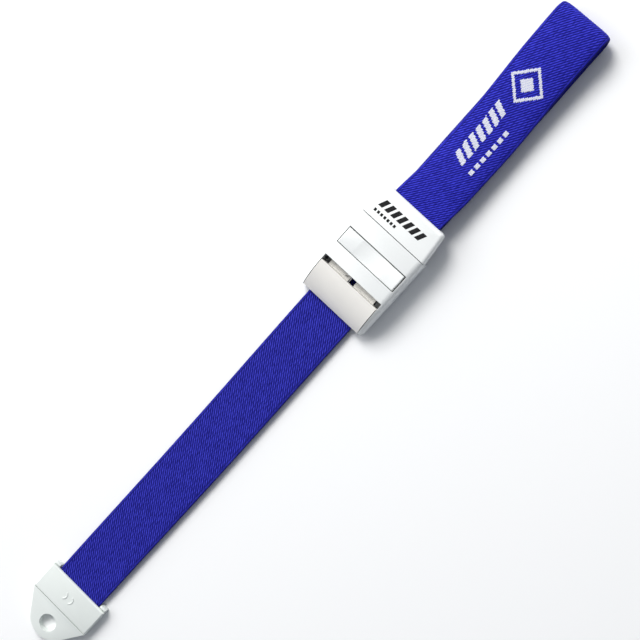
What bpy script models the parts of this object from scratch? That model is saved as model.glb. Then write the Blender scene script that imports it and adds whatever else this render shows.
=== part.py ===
"""Quick-release tourniquet: webbing, a push-button buckle with a rocker lock, a clip and a pull tab.

Frame: metres, +X along the webbing from the pull tab to the loop, +Y across it, +Z up. The object lies on
z = 0, and the origin is on that surface under the middle of the bounding box. The webbing leaves the clip,
folds back at the loop's end, runs under the clip and straight through the buckle, and ends in the pull tab.
"""

import math

import bmesh
import bpy
from mathutils import Matrix, Vector

MM = 0.001

# Driving dimensions
OVERALL_LENGTH = 362 * MM
STRAP_WIDTH = 25 * MM
STRAP_THICKNESS = 1.4 * MM
BUCKLE_LENGTH = 41.7 * MM
BUCKLE_WIDTH = 36 * MM
BUCKLE_HEIGHT = 12.6 * MM
CLIP_LENGTH = 14.8 * MM
TAB_LENGTH = 30.6 * MM
BUTTON_TRAVEL = 1.6 * MM
BUTTON_PLAY_X = 0.5 * MM  # gap between the button and its window on the clip's side
GAP = 0.3 * MM  # clearance between neighbouring pieces
OVERLAP = 0.2 * MM  # how far shapes that become one solid run into each other
PAST = 2 * MM  # how far a cutter runs past the wall that it cuts

# Places along X, from the pull tab's tip to the loop's end
TAB_TIP_X = -OVERALL_LENGTH / 2
TAB_MOUTH_X = TAB_TIP_X + TAB_LENGTH
TAB_CREASE_X = TAB_MOUTH_X - 14.2 * MM
LOOP_END_X = OVERALL_LENGTH / 2
BUCKLE_TAIL_X = 21.4 * MM
BUCKLE_MOUTH_X = BUCKLE_TAIL_X + BUCKLE_LENGTH
CLIP_BACK_X = BUCKLE_MOUTH_X + GAP
CLIP_FRONT_X = CLIP_BACK_X + CLIP_LENGTH

# Webbing
PLATE_THICKNESS = 1.2 * MM
STRAP_Z = PLATE_THICKNESS + GAP + STRAP_THICKNESS / 2  # middle of the straight run
STRAP_TOP_Z = STRAP_Z + STRAP_THICKNESS / 2
STRAP_IN_CLIP_Z = 9 * MM
FOLD_RADIUS = 4.3 * MM  # middle of the webbing round the loop's end
SLOT_DEPTH = 10.4 * MM  # pockets in the clip and the tab for the webbing's ends
STRAP_PEG_Y = (-7 * MM, 0, 7 * MM)  # pegs that hold the webbing's ends
STRAP_PEG_RADIUS = 1 * MM
STRAP_PEG_INSET = 5.6 * MM  # from the clip's and the tab's mouths
TAB_PEG_X = TAB_MOUTH_X - STRAP_PEG_INSET
CLIP_PEG_X = CLIP_FRONT_X - STRAP_PEG_INSET

# Buckle housing
WALL_INNER_Y = 16.1 * MM
TOP_SKIN = 1.6 * MM
SHOULDER_X = 37.5 * MM  # where the flat top begins to curve down to the rocker's end
SHOULDER_RADIUS = 20 * MM
DECK_Z = (3.3 * MM, 4.1 * MM)  # wall between the webbing and the clip's tongue
DECK_START_X = 41.6 * MM
CROSSBAR_X = (39.1 * MM, 46.0 * MM)
WINDOW_X = (46.0 * MM, 54.7 * MM)

# Rocker and its axle
AXLE_X, AXLE_Z, AXLE_RADIUS = 30.5 * MM, 6.4 * MM, 1 * MM
AXLE_RECESS = 1.2 * MM  # how deep the axle sits in each cheek
ROCKER_HALF_WIDTH = WALL_INNER_Y - GAP
ROCKER_INNER_X = 36.2 * MM
ROCKER_NOTCH_Y = 1.6 * MM
LEDGE_HALF_WIDTH = 13 * MM
LEDGE_END_X = 40 * MM
LEDGE_Z = (7.4 * MM, 8.7 * MM)  # the ledge that shows in the gap between the rocker and the crossbar
ROCKER_SPRING_WIRE = 0.25 * MM
TOOTH_TIP_Z = STRAP_TOP_Z + GAP

# Button, latch and their springs
LATCH_X = (WINDOW_X[0] + WINDOW_X[1]) / 2
LEG_Y = (13.4 * MM, 15.4 * MM)
LEG_BOTTOM_Z = 4.9 * MM
LEG_NOTCH_REACH = 3 * MM  # half the length of the openings in the deck for the legs and their springs
SPRING_Y = 14.6 * MM
TONGUE_Z = (7.2 * MM, 8.8 * MM)
TONGUE_HALF_WIDTH = 13 * MM
LATCH_Z = (5.9 * MM, 6.9 * MM)
LATCH_HALF_WIDTH = 13.1 * MM
TOOTH_BACK_X = LATCH_X - 1.7 * MM
CATCH_HALF_WIDTH = 5.5 * MM

# Pull tab
TAB_HALF_WIDTH = 16.2 * MM
TAB_HEIGHT = 4.8 * MM
TAB_PARTING_Z = 3.1 * MM
TAB_HOLE_X = TAB_TIP_X + 7.7 * MM
TAB_HOLE_RADIUS = 4.2 * MM
TAB_TIP_RADIUS = 10.8 * MM
TAB_EAR = 1.4 * MM  # how far the ears beside the webbing stand past the cover

# Looks: colour, roughness and metallic
WHITE = ((0.86, 0.89, 0.88), 0.32, 0.0)
WARM_WHITE = ((0.80, 0.77, 0.74), 0.38, 0.0)
STEEL = ((0.60, 0.60, 0.62), 0.3, 1.0)
PALE_GREY = ((0.73, 0.78, 0.75), 0.4, 0.0)
BLUE = ((0.033, 0.036, 0.33), 0.85, 0.0)


# Scene and materials

def clear_scene():
    for obj in list(bpy.data.objects):
        bpy.data.objects.remove(obj)


def new_collection(name, hidden=False):
    collection = bpy.data.collections.new(name)
    bpy.context.scene.collection.children.link(collection)
    collection.hide_render = hidden
    return collection


def material(name, look):
    colour, roughness, metallic = look
    made = bpy.data.materials.new(name)
    made.use_nodes = True
    shader = made.node_tree.nodes["Principled BSDF"]
    shader.inputs["Base Color"].default_value = (*colour, 1)
    shader.inputs["Roughness"].default_value = roughness
    shader.inputs["Metallic"].default_value = metallic
    return made


def keep(obj, look):
    """Makes obj a part of the object, with its own material."""
    obj.data.materials.clear()
    obj.data.materials.append(material(obj.name, look))
    PARTS.objects.link(obj)
    return obj


def place_in_cutters(obj):
    obj.hide_render = True
    obj.display_type = "WIRE"
    CUTTERS.objects.link(obj)
    return obj


# Shapes

def unlinked(obj):
    """Takes an object that an operator made out of the collection it was put in."""
    for collection in list(obj.users_collection):
        collection.objects.unlink(obj)
    return obj


def box(name, x, y, z):
    """A box between two places on each axis."""
    low, high = Vector((x[0], y[0], z[0])), Vector((x[1], y[1], z[1]))
    bpy.ops.mesh.primitive_cube_add(size=1)
    made = unlinked(bpy.context.object)
    made.name = name
    made.data.transform(Matrix.Diagonal((*(high - low), 1)))
    made.location = (low + high) / 2
    return made


def cylinder(name, radius, centre, length, axis="Z", sides=24):
    turn = {"X": (0, math.pi / 2, 0), "Y": (math.pi / 2, 0, 0), "Z": (0, 0, 0)}[axis]
    bpy.ops.mesh.primitive_cylinder_add(vertices=sides, radius=radius, depth=length)
    made = unlinked(bpy.context.object)
    made.name = name
    made.rotation_euler = turn
    made.location = centre
    return made


def arc(centre, radius, start, end, steps):
    """Points on an arc, in degrees from +X."""
    angles = [math.radians(start + (end - start) * i / steps) for i in range(steps + 1)]
    return [(centre[0] + radius * math.cos(a), centre[1] + radius * math.sin(a)) for a in angles]


def prism(name, outline, half_depth, level=0.0, upright=False):
    """A flat outline given thickness: flat on XY at the height level, or upright on XZ, across Y."""
    shape = bmesh.new()
    corners = [(u, -half_depth, v) if upright else (u, v, level - half_depth) for u, v in outline]
    face = shape.faces.new([shape.verts.new(corner) for corner in corners])
    raised = bmesh.ops.extrude_face_region(shape, geom=[face])["geom"]
    along = (0, 2 * half_depth, 0) if upright else (0, 0, 2 * half_depth)
    bmesh.ops.translate(shape, vec=along, verts=[v for v in raised if isinstance(v, bmesh.types.BMVert)])
    bmesh.ops.recalc_face_normals(shape, faces=shape.faces)
    mesh = bpy.data.meshes.new(name)
    shape.to_mesh(mesh)
    shape.free()
    return bpy.data.objects.new(name, mesh)


def wire(name, points, radius, look):
    """A round wire along points, with closed ends."""
    curve = bpy.data.curves.new(name, "CURVE")
    curve.dimensions = "3D"
    curve.bevel_depth = radius
    curve.bevel_resolution = 2
    curve.use_fill_caps = True
    spline = curve.splines.new("POLY")
    spline.points.add(len(points) - 1)
    for point, place in zip(spline.points, points):
        point.co = (*place, 1)
    return keep(bpy.data.objects.new(name, curve), look)


def reshape_top(obj, middle_z, height_at):
    """Moves the vertices above middle_z to the height that height_at gives for their X."""
    for vertex in obj.data.vertices:
        if vertex.co.z > middle_z:
            vertex.co.z = height_at(vertex.co.x)


def round_edges(obj, radius, share, segments=3):
    """Rounds the edges of obj. share(a, b) gives each edge's share of the radius from its two ends."""
    weights = obj.data.attributes.new("bevel_weight_edge", "FLOAT", "EDGE")
    for edge in obj.data.edges:
        a, b = (obj.data.vertices[i].co for i in edge.vertices)
        weights.data[edge.index].value = share(a, b)
    bevel = obj.modifiers.new("rounded", "BEVEL")
    bevel.limit_method = "WEIGHT"
    bevel.width = radius
    bevel.segments = segments


def combine(obj, other, operation):
    modifier = obj.modifiers.new(operation.lower(), "BOOLEAN")
    modifier.operation = operation
    modifier.object = place_in_cutters(other)


def cut(obj, *cutters):
    for cutter in cutters:
        combine(obj, cutter, "DIFFERENCE")


def join(obj, *others):
    for other in others:
        combine(obj, other, "UNION")


def smooth(obj, angle=35):
    obj.data.shade_smooth()
    obj.data.set_sharp_from_angle(angle=math.radians(angle))


def both_sides(y):
    """The span y on the +Y side, and its mirror on the -Y side."""
    return (y, (-y[1], -y[0]))


# Webbing

def upper_run_height(x):
    """Middle of the webbing between the clip and the loop's end: it sags, then rises into the fold."""
    share = (x - CLIP_FRONT_X) / (fold_centre()[0] - CLIP_FRONT_X)
    ease = share * share * (3 - 2 * share)
    rise = STRAP_Z + 2 * FOLD_RADIUS - STRAP_IN_CLIP_Z
    sag = 0.7 * MM
    return STRAP_IN_CLIP_Z + rise * ease**2 - sag * math.sin(math.pi * share) ** 2


def fold_centre():
    return LOOP_END_X - FOLD_RADIUS - STRAP_THICKNESS / 2, STRAP_Z + FOLD_RADIUS


def strap_route():
    """The webbing's middle line in XZ, from its end in the clip to its end in the pull tab."""
    end_inside = SLOT_DEPTH - 0.5 * MM
    steps = 16
    fold = fold_centre()
    route = [(CLIP_FRONT_X - end_inside, STRAP_IN_CLIP_Z)]
    for i in range(steps):
        x = CLIP_FRONT_X + (fold[0] - CLIP_FRONT_X) * i / steps
        route.append((x, upper_run_height(x)))
    route += arc(fold, FOLD_RADIUS, 90, -90, 14)
    route.append((TAB_MOUTH_X - end_inside, STRAP_Z))
    return route


def make_strap():
    route = strap_route()
    half = STRAP_WIDTH / 2
    shape = bmesh.new()
    rows = [[shape.verts.new((x, y, z)) for y in (-half, half)] for x, z in route]
    for (a, b), (c, d) in zip(rows, rows[1:]):
        shape.faces.new((a, b, d, c))
    mesh = bpy.data.meshes.new("strap")
    shape.to_mesh(mesh)
    shape.free()
    strap = keep(bpy.data.objects.new("strap", mesh), BLUE)
    solidify = strap.modifiers.new("thickness", "SOLIDIFY")
    solidify.thickness = STRAP_THICKNESS
    solidify.offset = 0
    solidify.use_even_offset = True
    for x, z in ((TAB_PEG_X, STRAP_Z), (CLIP_PEG_X, STRAP_IN_CLIP_Z)):
        for y in STRAP_PEG_Y:
            cut(strap, cylinder("strap_hole", STRAP_PEG_RADIUS + GAP, (x, y, z), 2 * PAST))


# Buckle housing

def housing_outline():
    """Side view: square at the clip's end, curved down to the rocker's end, its lower corner taken off."""
    corner = 1 * MM
    centre = (SHOULDER_X, BUCKLE_HEIGHT - SHOULDER_RADIUS)
    end = math.degrees(math.acos((BUCKLE_TAIL_X - SHOULDER_X) / SHOULDER_RADIUS))
    return [
        (BUCKLE_MOUTH_X, 0),
        (BUCKLE_MOUTH_X, BUCKLE_HEIGHT),
        *arc(centre, SHOULDER_RADIUS, 90, end, 10),
        (BUCKLE_TAIL_X, corner),
        (BUCKLE_TAIL_X + corner, 0),
    ]


def snap_lugs(clearance):
    """Four lugs on the base plate's sides, or with a clearance the recesses for them in the housing."""
    spans = []
    for x in (BUCKLE_TAIL_X + 6 * MM, BUCKLE_MOUTH_X - 6 * MM):
        for y in both_sides((WALL_INNER_Y - 2 * GAP, WALL_INNER_Y + 0.4 * MM)):
            spans.append((
                (x - 1.5 * MM - clearance, x + 1.5 * MM + clearance),
                (y[0] - clearance, y[1] + clearance),
                (0.5 * MM - clearance, 0.9 * MM + clearance),
            ))
    return [box("snap_lug", *span) for span in spans]


def make_housing():
    housing = keep(
        prism("housing_shell", housing_outline(), BUCKLE_WIDTH / 2, upright=True), WHITE
    )
    side = BUCKLE_WIDTH / 2 - 0.01 * MM

    def share(a, b):
        if min(abs(a.y), abs(b.y)) < side or a.y * b.y < 0:
            return 0
        if max(a.x, b.x) - min(a.x, b.x) < GAP and a.x > BUCKLE_MOUTH_X - GAP:
            return 0
        return 0.25 if max(a.z, b.z) < 0.01 * MM else 1

    round_edges(housing, 3.2 * MM, share, segments=4)
    inner = (-WALL_INNER_Y, WALL_INNER_Y)
    through = (BUCKLE_TAIL_X - PAST, BUCKLE_MOUTH_X + PAST)
    socket_z = (DECK_Z[1], BUCKLE_HEIGHT - TOP_SKIN)
    cut(
        housing,
        box("strap_passage", through, inner, (-PAST, DECK_Z[0])),
        box("clip_socket", (DECK_START_X - PAST, through[1]), inner, socket_z),
        box("rocker_bay", (through[0], CROSSBAR_X[0]), inner, (-PAST, BUCKLE_HEIGHT + PAST)),
        box("under_crossbar", (CROSSBAR_X[0] - OVERLAP, DECK_START_X), inner, (-PAST, socket_z[1])),
        box("button_window", WINDOW_X, inner, (socket_z[1] - OVERLAP, BUCKLE_HEIGHT + PAST)),
        cylinder(
            "axle_recess",
            AXLE_RADIUS + GAP / 2,
            (AXLE_X, 0, AXLE_Z),
            2 * (WALL_INNER_Y + AXLE_RECESS),
            "Y",
        ),
        *snap_lugs(GAP),
    )
    for y in both_sides((LEG_Y[0] - GAP, WALL_INNER_Y)):
        x = (LATCH_X - LEG_NOTCH_REACH, LATCH_X + LEG_NOTCH_REACH)
        cut(housing, box("leg_notch", x, y, (DECK_Z[0] - OVERLAP, DECK_Z[1] + OVERLAP)))
    smooth(housing)


def make_base_plate():
    ends = (BUCKLE_TAIL_X + GAP, BUCKLE_MOUTH_X - GAP)
    half = WALL_INNER_Y - GAP
    plate = keep(box("base_plate", ends, (-half, half), (0, PLATE_THICKNESS)), WHITE)
    rail_z = (PLATE_THICKNESS - OVERLAP, STRAP_TOP_Z)
    for y in both_sides((STRAP_WIDTH / 2 + 2 * GAP, half - OVERLAP)):
        join(
            plate,
            box("strap_rail", (ends[0] + GAP, LATCH_X - LEG_NOTCH_REACH), y, rail_z),
            box("strap_rail", (LATCH_X + LEG_NOTCH_REACH, ends[1] - GAP), y, rail_z),
        )
    for y in (-SPRING_Y, SPRING_Y):
        seat = (LATCH_X, y, PLATE_THICKNESS + 0.3 * MM)
        join(plate, cylinder("spring_seat", 0.65 * MM, seat, 1 * MM, sides=12))
    join(plate, *snap_lugs(0))


# Rocker lock

def rocker_outline():
    """Side view of the rocker without its teeth: curved top, flat underside, round boss and ledge."""
    centre = (SHOULDER_X, BUCKLE_HEIGHT - SHOULDER_RADIUS)
    radius = SHOULDER_RADIUS - 0.2 * MM
    start = math.degrees(math.acos((ROCKER_INNER_X - centre[0]) / radius))
    end = math.degrees(math.acos((BUCKLE_TAIL_X + 0.5 * MM - centre[0]) / radius))
    under_z = 3.9 * MM
    boss = 2.4 * MM
    return [
        *arc(centre, radius, start, end, 12),
        (BUCKLE_TAIL_X + 1 * MM, under_z),
        *arc((AXLE_X, AXLE_Z), boss, -110, 10, 6),
        (AXLE_X + boss + 1 * MM, LEDGE_Z[0]),
        (LEDGE_END_X, LEDGE_Z[0]),
        (LEDGE_END_X, LEDGE_Z[1]),
        (ROCKER_INNER_X, LEDGE_Z[1]),
    ]


def rocker_teeth():
    """Side view of the row of teeth that bites the webbing, with a back that runs into the rocker."""
    pitch, count, first_x, root_z = 1.15 * MM, 4, 24.2 * MM, 4.0 * MM
    outline = [(first_x, root_z)]
    for i in range(count):
        outline.append((first_x + (i + 0.35) * pitch, TOOTH_TIP_Z))
        outline.append((first_x + (i + 1) * pitch, root_z - OVERLAP))
    back_z = root_z + 0.6 * MM
    return outline + [(first_x + count * pitch, back_z), (first_x, back_z)]


def make_rocker():
    rocker = keep(
        prism("rocker_lever", rocker_outline(), ROCKER_HALF_WIDTH, upright=True), WARM_WHITE
    )
    teeth_half = STRAP_WIDTH / 2 - GAP
    join(rocker, prism("rocker_teeth", rocker_teeth(), teeth_half, upright=True))
    bore = cylinder(
        "rocker_bore", AXLE_RADIUS + GAP, (AXLE_X, 0, AXLE_Z), BUCKLE_WIDTH, "Y"
    )
    notch_x, notch_z = (AXLE_X - 2.6 * MM, LEDGE_END_X + PAST), (3 * MM, 9.3 * MM)
    cut(
        rocker,
        bore,
        box("spring_notch", notch_x, (-ROCKER_NOTCH_Y, ROCKER_NOTCH_Y), notch_z),
    )
    for y in both_sides((LEDGE_HALF_WIDTH, WALL_INNER_Y + PAST)):
        cut(rocker, box("ledge_end", (ROCKER_INNER_X - OVERLAP, notch_x[1]), y, notch_z))
    smooth(rocker)


def make_axle():
    half = WALL_INNER_Y + AXLE_RECESS - GAP
    axle = cylinder("rocker_axle", AXLE_RADIUS, (AXLE_X, 0, AXLE_Z), 2 * half, "Y", 20)
    keep(axle, STEEL)
    smooth(axle)


def make_rocker_spring():
    """Torsion spring on the axle. Its lower leg presses down on the deck, and its upper leg presses up
    under the rocker's top, which keeps the teeth on the webbing, and ends in a hook over the ledge."""
    radius, turns, steps = 1.6 * MM, 2.5, 12
    half_width = 1.05 * MM
    count = round(turns * steps)
    coil = []
    for i in range(count + 1):
        angle = math.radians(-90 - 360 * i / steps)
        y = -half_width + 2 * half_width * i / count
        coil.append((AXLE_X + radius * math.cos(angle), y, AXLE_Z + radius * math.sin(angle)))
    lower_leg = [
        (DECK_START_X + 0.8 * MM, -half_width, DECK_Z[1] + GAP + ROCKER_SPRING_WIRE),
        (AXLE_X + 5 * MM, -half_width, AXLE_Z - radius),
        (AXLE_X + 1 * MM, -half_width, AXLE_Z - radius),
    ]
    upper_leg = [
        (AXLE_X + 1 * MM, half_width, AXLE_Z + radius),
        (AXLE_X + 3 * MM, half_width, AXLE_Z + radius + 0.4 * MM),
        (ROCKER_INNER_X, half_width, LEDGE_Z[1]),
        (ROCKER_INNER_X + 1.5 * MM, half_width, LEDGE_Z[1] + 0.55 * MM),
    ]
    bend = arc((38.9 * MM, half_width + 0.75 * MM), 0.75 * MM, -90, 52, 8)
    hook = [(x, y, LEDGE_Z[1] + 0.55 * MM) for x, y in [*bend, (37.4 * MM, 3.9 * MM)]]
    wire("rocker_spring", [*lower_leg, *coil, *upper_leg, *hook], ROCKER_SPRING_WIRE, STEEL)


# Button and latch

def make_button():
    cap_x = (WINDOW_X[0] + GAP, WINDOW_X[1] - BUTTON_PLAY_X)
    cap_z = (TONGUE_Z[1] + BUTTON_TRAVEL + GAP, BUCKLE_HEIGHT - 0.2 * MM)
    half = WALL_INNER_Y - GAP
    button = keep(box("release_button", cap_x, (-LEG_Y[1], half), cap_z), WHITE)
    top = (cap_z[1] - cap_z[0]) / 2 - 0.01 * MM
    round_edges(button, 0.4 * MM, lambda a, b: float(min(a.z, b.z) > top), segments=2)
    leg_x = (LATCH_X - 2.4 * MM, LATCH_X + 2.4 * MM)
    for y in both_sides(LEG_Y):
        slot = box(
            "latch_slot",
            (LATCH_X - 1.7 * MM, LATCH_X + 1.7 * MM),
            (y[0] - PAST, y[1] + PAST),
            (LATCH_Z[0] - GAP, LATCH_Z[1] + GAP),
        )
        join(button, box("button_leg", leg_x, y, (LEG_BOTTOM_Z, cap_z[0] + OVERLAP)))
        cut(button, slot)
    scoop_half, scoop_depth = 8 * MM, 0.8 * MM
    scoop_radius = (scoop_half**2 + scoop_depth**2) / (2 * scoop_depth)
    centre = (LATCH_X, 0, cap_z[1] - scoop_depth + scoop_radius)
    cut(button, cylinder("thumb_scoop", scoop_radius, centre, 20 * MM, "X", sides=160))
    smooth(button)


def make_latch():
    """Bar under the tongue that joins the button's legs, with the tooth that locks the tongue."""
    bar_x = (LATCH_X - 2.7 * MM, LATCH_X + 2.7 * MM)
    bar = keep(box("latch_bar", bar_x, (-LATCH_HALF_WIDTH, LATCH_HALF_WIDTH), LATCH_Z), WHITE)
    for y in both_sides((LATCH_HALF_WIDTH - OVERLAP, LEG_Y[1] - GAP)):
        join(bar, box("latch_tab", (LATCH_X - 1.4 * MM, LATCH_X + 1.4 * MM), y, LATCH_Z))
    root, tip = LATCH_Z[1] - OVERLAP, TONGUE_Z[0] + 0.9 * MM
    tooth = [
        (TOOTH_BACK_X, root),
        (TOOTH_BACK_X + 3.4 * MM, root),
        (TOOTH_BACK_X + 1 * MM, tip),
        (TOOTH_BACK_X, tip),
    ]
    join(bar, prism("catch_tooth", tooth, CATCH_HALF_WIDTH, upright=True))


def make_button_spring(name, y):
    radius, wire_radius, turns, steps = 1.1 * MM, 0.2 * MM, 4, 10
    low = PLATE_THICKNESS + GAP + wire_radius
    high = LEG_BOTTOM_Z - GAP - wire_radius
    points = []
    for i in range(turns * steps + 1):
        angle = 2 * math.pi * i / steps
        z = low + (high - low) * i / (turns * steps)
        points.append((LATCH_X + radius * math.cos(angle), y + radius * math.sin(angle), z))
    wire(name, points, wire_radius, STEEL)


# Clip

def clip_plan():
    """Plan view of the clip's body: it narrows from the buckle to the webbing, with round front corners."""
    back, front, corner = BUCKLE_WIDTH / 2 - 0.1 * MM, 16.4 * MM, 1.8 * MM
    centre = (CLIP_FRONT_X - corner, front - corner)
    right = arc(centre, corner, 84, 0, 4)
    return [(CLIP_BACK_X, back), *right, *[(x, -y) for x, y in reversed(right)], (CLIP_BACK_X, -back)]


def strap_slot(name, mouth_x, end_x, z):
    """Cutter for the pocket that a webbing's end lies in."""
    half = STRAP_WIDTH / 2 + GAP
    return box(name, (end_x, mouth_x), (-half, half), z)


def make_clip_base():
    """Lower half of the clip, with its plug and tongue and the pegs that hold the webbing."""
    bottom, parting = 6 * MM, STRAP_IN_CLIP_Z - GAP / 2
    middle, half_depth = (bottom + parting) / 2, (parting - bottom) / 2
    base = keep(prism("clip_base", clip_plan(), half_depth, level=middle), WHITE)

    def share(a, b):
        low = max(a.z, b.z) < bottom + 0.01 * MM
        at_back = max(a.x, b.x) < CLIP_BACK_X + 0.01 * MM
        return float(low and not at_back)

    round_edges(base, 0.9 * MM, share, segments=3)
    plug_y = (GAP - WALL_INNER_Y, WALL_INNER_Y - GAP)
    plug_x, plug_bottom = WINDOW_X[1] + 2 * MM, DECK_Z[1] + GAP
    plug_top = BUCKLE_HEIGHT - TOP_SKIN - GAP
    plug = box("clip_plug", (plug_x, BUCKLE_MOUTH_X), plug_y, (plug_bottom, plug_top))
    neck = box("plug_neck", (plug_x, CLIP_BACK_X + OVERLAP), plug_y, (plug_bottom, parting))
    join(plug, neck)
    tip, shoulder = 43.2 * MM, 45.4 * MM
    tongue_plan = [
        (CLIP_BACK_X, TONGUE_HALF_WIDTH),
        (shoulder, TONGUE_HALF_WIDTH),
        (tip, TONGUE_HALF_WIDTH - 2.2 * MM),
        (tip, -TONGUE_HALF_WIDTH + 2.2 * MM),
        (shoulder, -TONGUE_HALF_WIDTH),
        (CLIP_BACK_X, -TONGUE_HALF_WIDTH),
    ]
    tongue_middle = (TONGUE_Z[0] + TONGUE_Z[1]) / 2
    tongue = prism("tongue", tongue_plan, (TONGUE_Z[1] - TONGUE_Z[0]) / 2, level=tongue_middle)
    join(base, plug, tongue)
    window_x = (TOOTH_BACK_X - GAP, TOOTH_BACK_X + 3.8 * MM)
    window_y = (-CATCH_HALF_WIDTH - GAP, CATCH_HALF_WIDTH + GAP)
    window_z = (TONGUE_Z[0] - PAST, TONGUE_Z[1] + PAST)
    slot_bottom = STRAP_IN_CLIP_Z - STRAP_THICKNESS / 2 - GAP
    slot_end = CLIP_FRONT_X - SLOT_DEPTH
    cut(
        base,
        box("tongue_window", window_x, window_y, window_z),
        strap_slot("clip_slot", CLIP_FRONT_X + PAST, slot_end, (slot_bottom, parting + PAST)),
    )
    low, high = slot_bottom - OVERLAP, 10.7 * MM
    for y in STRAP_PEG_Y:
        place = (CLIP_PEG_X, y, (low + high) / 2)
        join(base, cylinder("strap_peg", STRAP_PEG_RADIUS, place, high - low, sides=16))
    smooth(base)


def make_clip_cover():
    """Upper half of the clip, level with the buckle's top at the back and lower at the webbing."""
    parting, front_height = STRAP_IN_CLIP_Z + GAP / 2, 11.6 * MM
    middle, half_depth = (parting + BUCKLE_HEIGHT) / 2, (BUCKLE_HEIGHT - parting) / 2
    cover = keep(prism("clip_cover", clip_plan(), half_depth, level=middle), WHITE)
    fall = (BUCKLE_HEIGHT - front_height) / CLIP_LENGTH
    reshape_top(cover, middle, lambda x: BUCKLE_HEIGHT - fall * (x - CLIP_BACK_X))

    def share(a, b):
        high = min(a.z, b.z) > middle
        at_back = max(a.x, b.x) < CLIP_BACK_X + 0.01 * MM
        return float(high and not at_back)

    round_edges(cover, 1.7 * MM, share, segments=4)
    slot_top = STRAP_IN_CLIP_Z + STRAP_THICKNESS / 2 + GAP
    slot_end = CLIP_FRONT_X - SLOT_DEPTH
    cut(cover, strap_slot("cover_slot", CLIP_FRONT_X + PAST, slot_end, (parting - PAST, slot_top)))
    for y in STRAP_PEG_Y:
        place = (CLIP_PEG_X, y, 10 * MM)
        cut(cover, cylinder("peg_socket", STRAP_PEG_RADIUS + GAP, place, 2 * MM, sides=16))
    smooth(cover)


# Pull tab

def tab_plan():
    """Plan view of the tab: a rectangle round the webbing that narrows on tangent lines to a round end.
    The rectangle ends in a slightly narrower stub, which the ears cover."""
    centre_x = TAB_TIP_X + TAB_TIP_RADIUS
    reach_x, reach_y = TAB_CREASE_X - centre_x, TAB_HALF_WIDTH
    distance = math.hypot(reach_x, reach_y)
    to_corner = math.degrees(math.atan2(reach_y, reach_x))
    tangent = to_corner + math.degrees(math.acos(TAB_TIP_RADIUS / distance))
    tip = arc((centre_x, 0), TAB_TIP_RADIUS, tangent, 360 - tangent, 14)
    tray_end = TAB_MOUTH_X + TAB_EAR / 2
    return [
        (tray_end, TAB_HALF_WIDTH - OVERLAP),
        (TAB_MOUTH_X, TAB_HALF_WIDTH),
        (TAB_CREASE_X, TAB_HALF_WIDTH),
        *tip,
        (TAB_CREASE_X, -TAB_HALF_WIDTH),
        (TAB_MOUTH_X, -TAB_HALF_WIDTH),
        (tray_end, OVERLAP - TAB_HALF_WIDTH),
    ]


def make_tab_base():
    """Lower half of the tab: a tray with two ears, and the solid end with the hanging hole."""
    base = keep(prism("tab_base", tab_plan(), TAB_HEIGHT / 2, level=TAB_HEIGHT / 2), PALE_GREY)
    crease_z, tip_z, ear_z = 4.5 * MM, 3.4 * MM, 4.1 * MM
    fall = (crease_z - tip_z) / (TAB_CREASE_X - TAB_TIP_X)
    reshape_top(base, TAB_HEIGHT / 2, lambda x: crease_z - fall * (TAB_CREASE_X - x))

    def share(a, b):
        inside = max(a.x, b.x) > TAB_MOUTH_X + GAP
        top = min(a.z, b.z) > 2 * MM
        bottom = max(a.z, b.z) < 0.01 * MM
        return 0 if inside else 1.0 if top else 0.6 * bottom

    round_edges(base, 0.9 * MM, share, segments=3)
    past_x, slot_x = TAB_MOUTH_X + TAB_EAR + PAST, TAB_MOUTH_X - SLOT_DEPTH
    past_y = (-TAB_HALF_WIDTH - PAST, TAB_HALF_WIDTH + PAST)
    cut(
        base,
        box("cover_seat", (TAB_CREASE_X, past_x), past_y, (TAB_PARTING_Z, TAB_HEIGHT + PAST)),
        strap_slot("tab_slot", past_x, slot_x, (PLATE_THICKNESS, TAB_HEIGHT + PAST)),
        strap_slot("ear_gap", past_x, TAB_MOUTH_X, (-PAST, PLATE_THICKNESS + OVERLAP)),
        cylinder("hanging_hole", TAB_HOLE_RADIUS, (TAB_HOLE_X, 0, 0), 8 * PAST, sides=32),
    )
    for y in both_sides((STRAP_WIDTH / 2 + GAP, TAB_HALF_WIDTH)):
        ear = box("ear", (TAB_MOUTH_X + GAP, TAB_MOUTH_X + TAB_EAR), y, (0, ear_z))
        round_edges(ear, 0.6 * MM, lambda a, b: 1.0, segments=3)
        join(base, ear)
    low, high = PLATE_THICKNESS - OVERLAP, 4 * MM
    for y in STRAP_PEG_Y:
        place = (TAB_PEG_X, y, (low + high) / 2)
        join(base, cylinder("strap_peg", STRAP_PEG_RADIUS, place, high - low, sides=16))
    smooth(base)


def grip_arc(x, y):
    """A raised crescent on the tab's cover, with its hollow towards +Y."""
    outer, inner = 2.3 * MM, 1.9 * MM
    outline = arc((x, y), outer, -150, -30, 10) + arc((x, y + 0.15 * MM), inner, -32, -148, 10)
    return prism("grip_arc", outline, 0.25 * MM, level=TAB_HEIGHT)


def make_tab_cover():
    parting = TAB_PARTING_Z + GAP
    x = (TAB_CREASE_X + GAP / 2, TAB_MOUTH_X)
    y = (-TAB_HALF_WIDTH, TAB_HALF_WIDTH)
    cover = keep(box("tab_cover", x, y, (parting, TAB_HEIGHT)), PALE_GREY)
    top = (TAB_HEIGHT - parting) / 2 - 0.01 * MM
    round_edges(cover, 0.7 * MM, lambda a, b: float(min(a.z, b.z) > top), segments=3)
    for place in STRAP_PEG_Y:
        centre = (TAB_PEG_X, place, 3.3 * MM)
        cut(cover, cylinder("peg_socket", STRAP_PEG_RADIUS + GAP, centre, 2 * MM, sides=16))
    middle = (x[0] + x[1]) / 2
    join(cover, grip_arc(middle, 3.4 * MM), grip_arc(middle, -0.2 * MM))
    smooth(cover)


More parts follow.
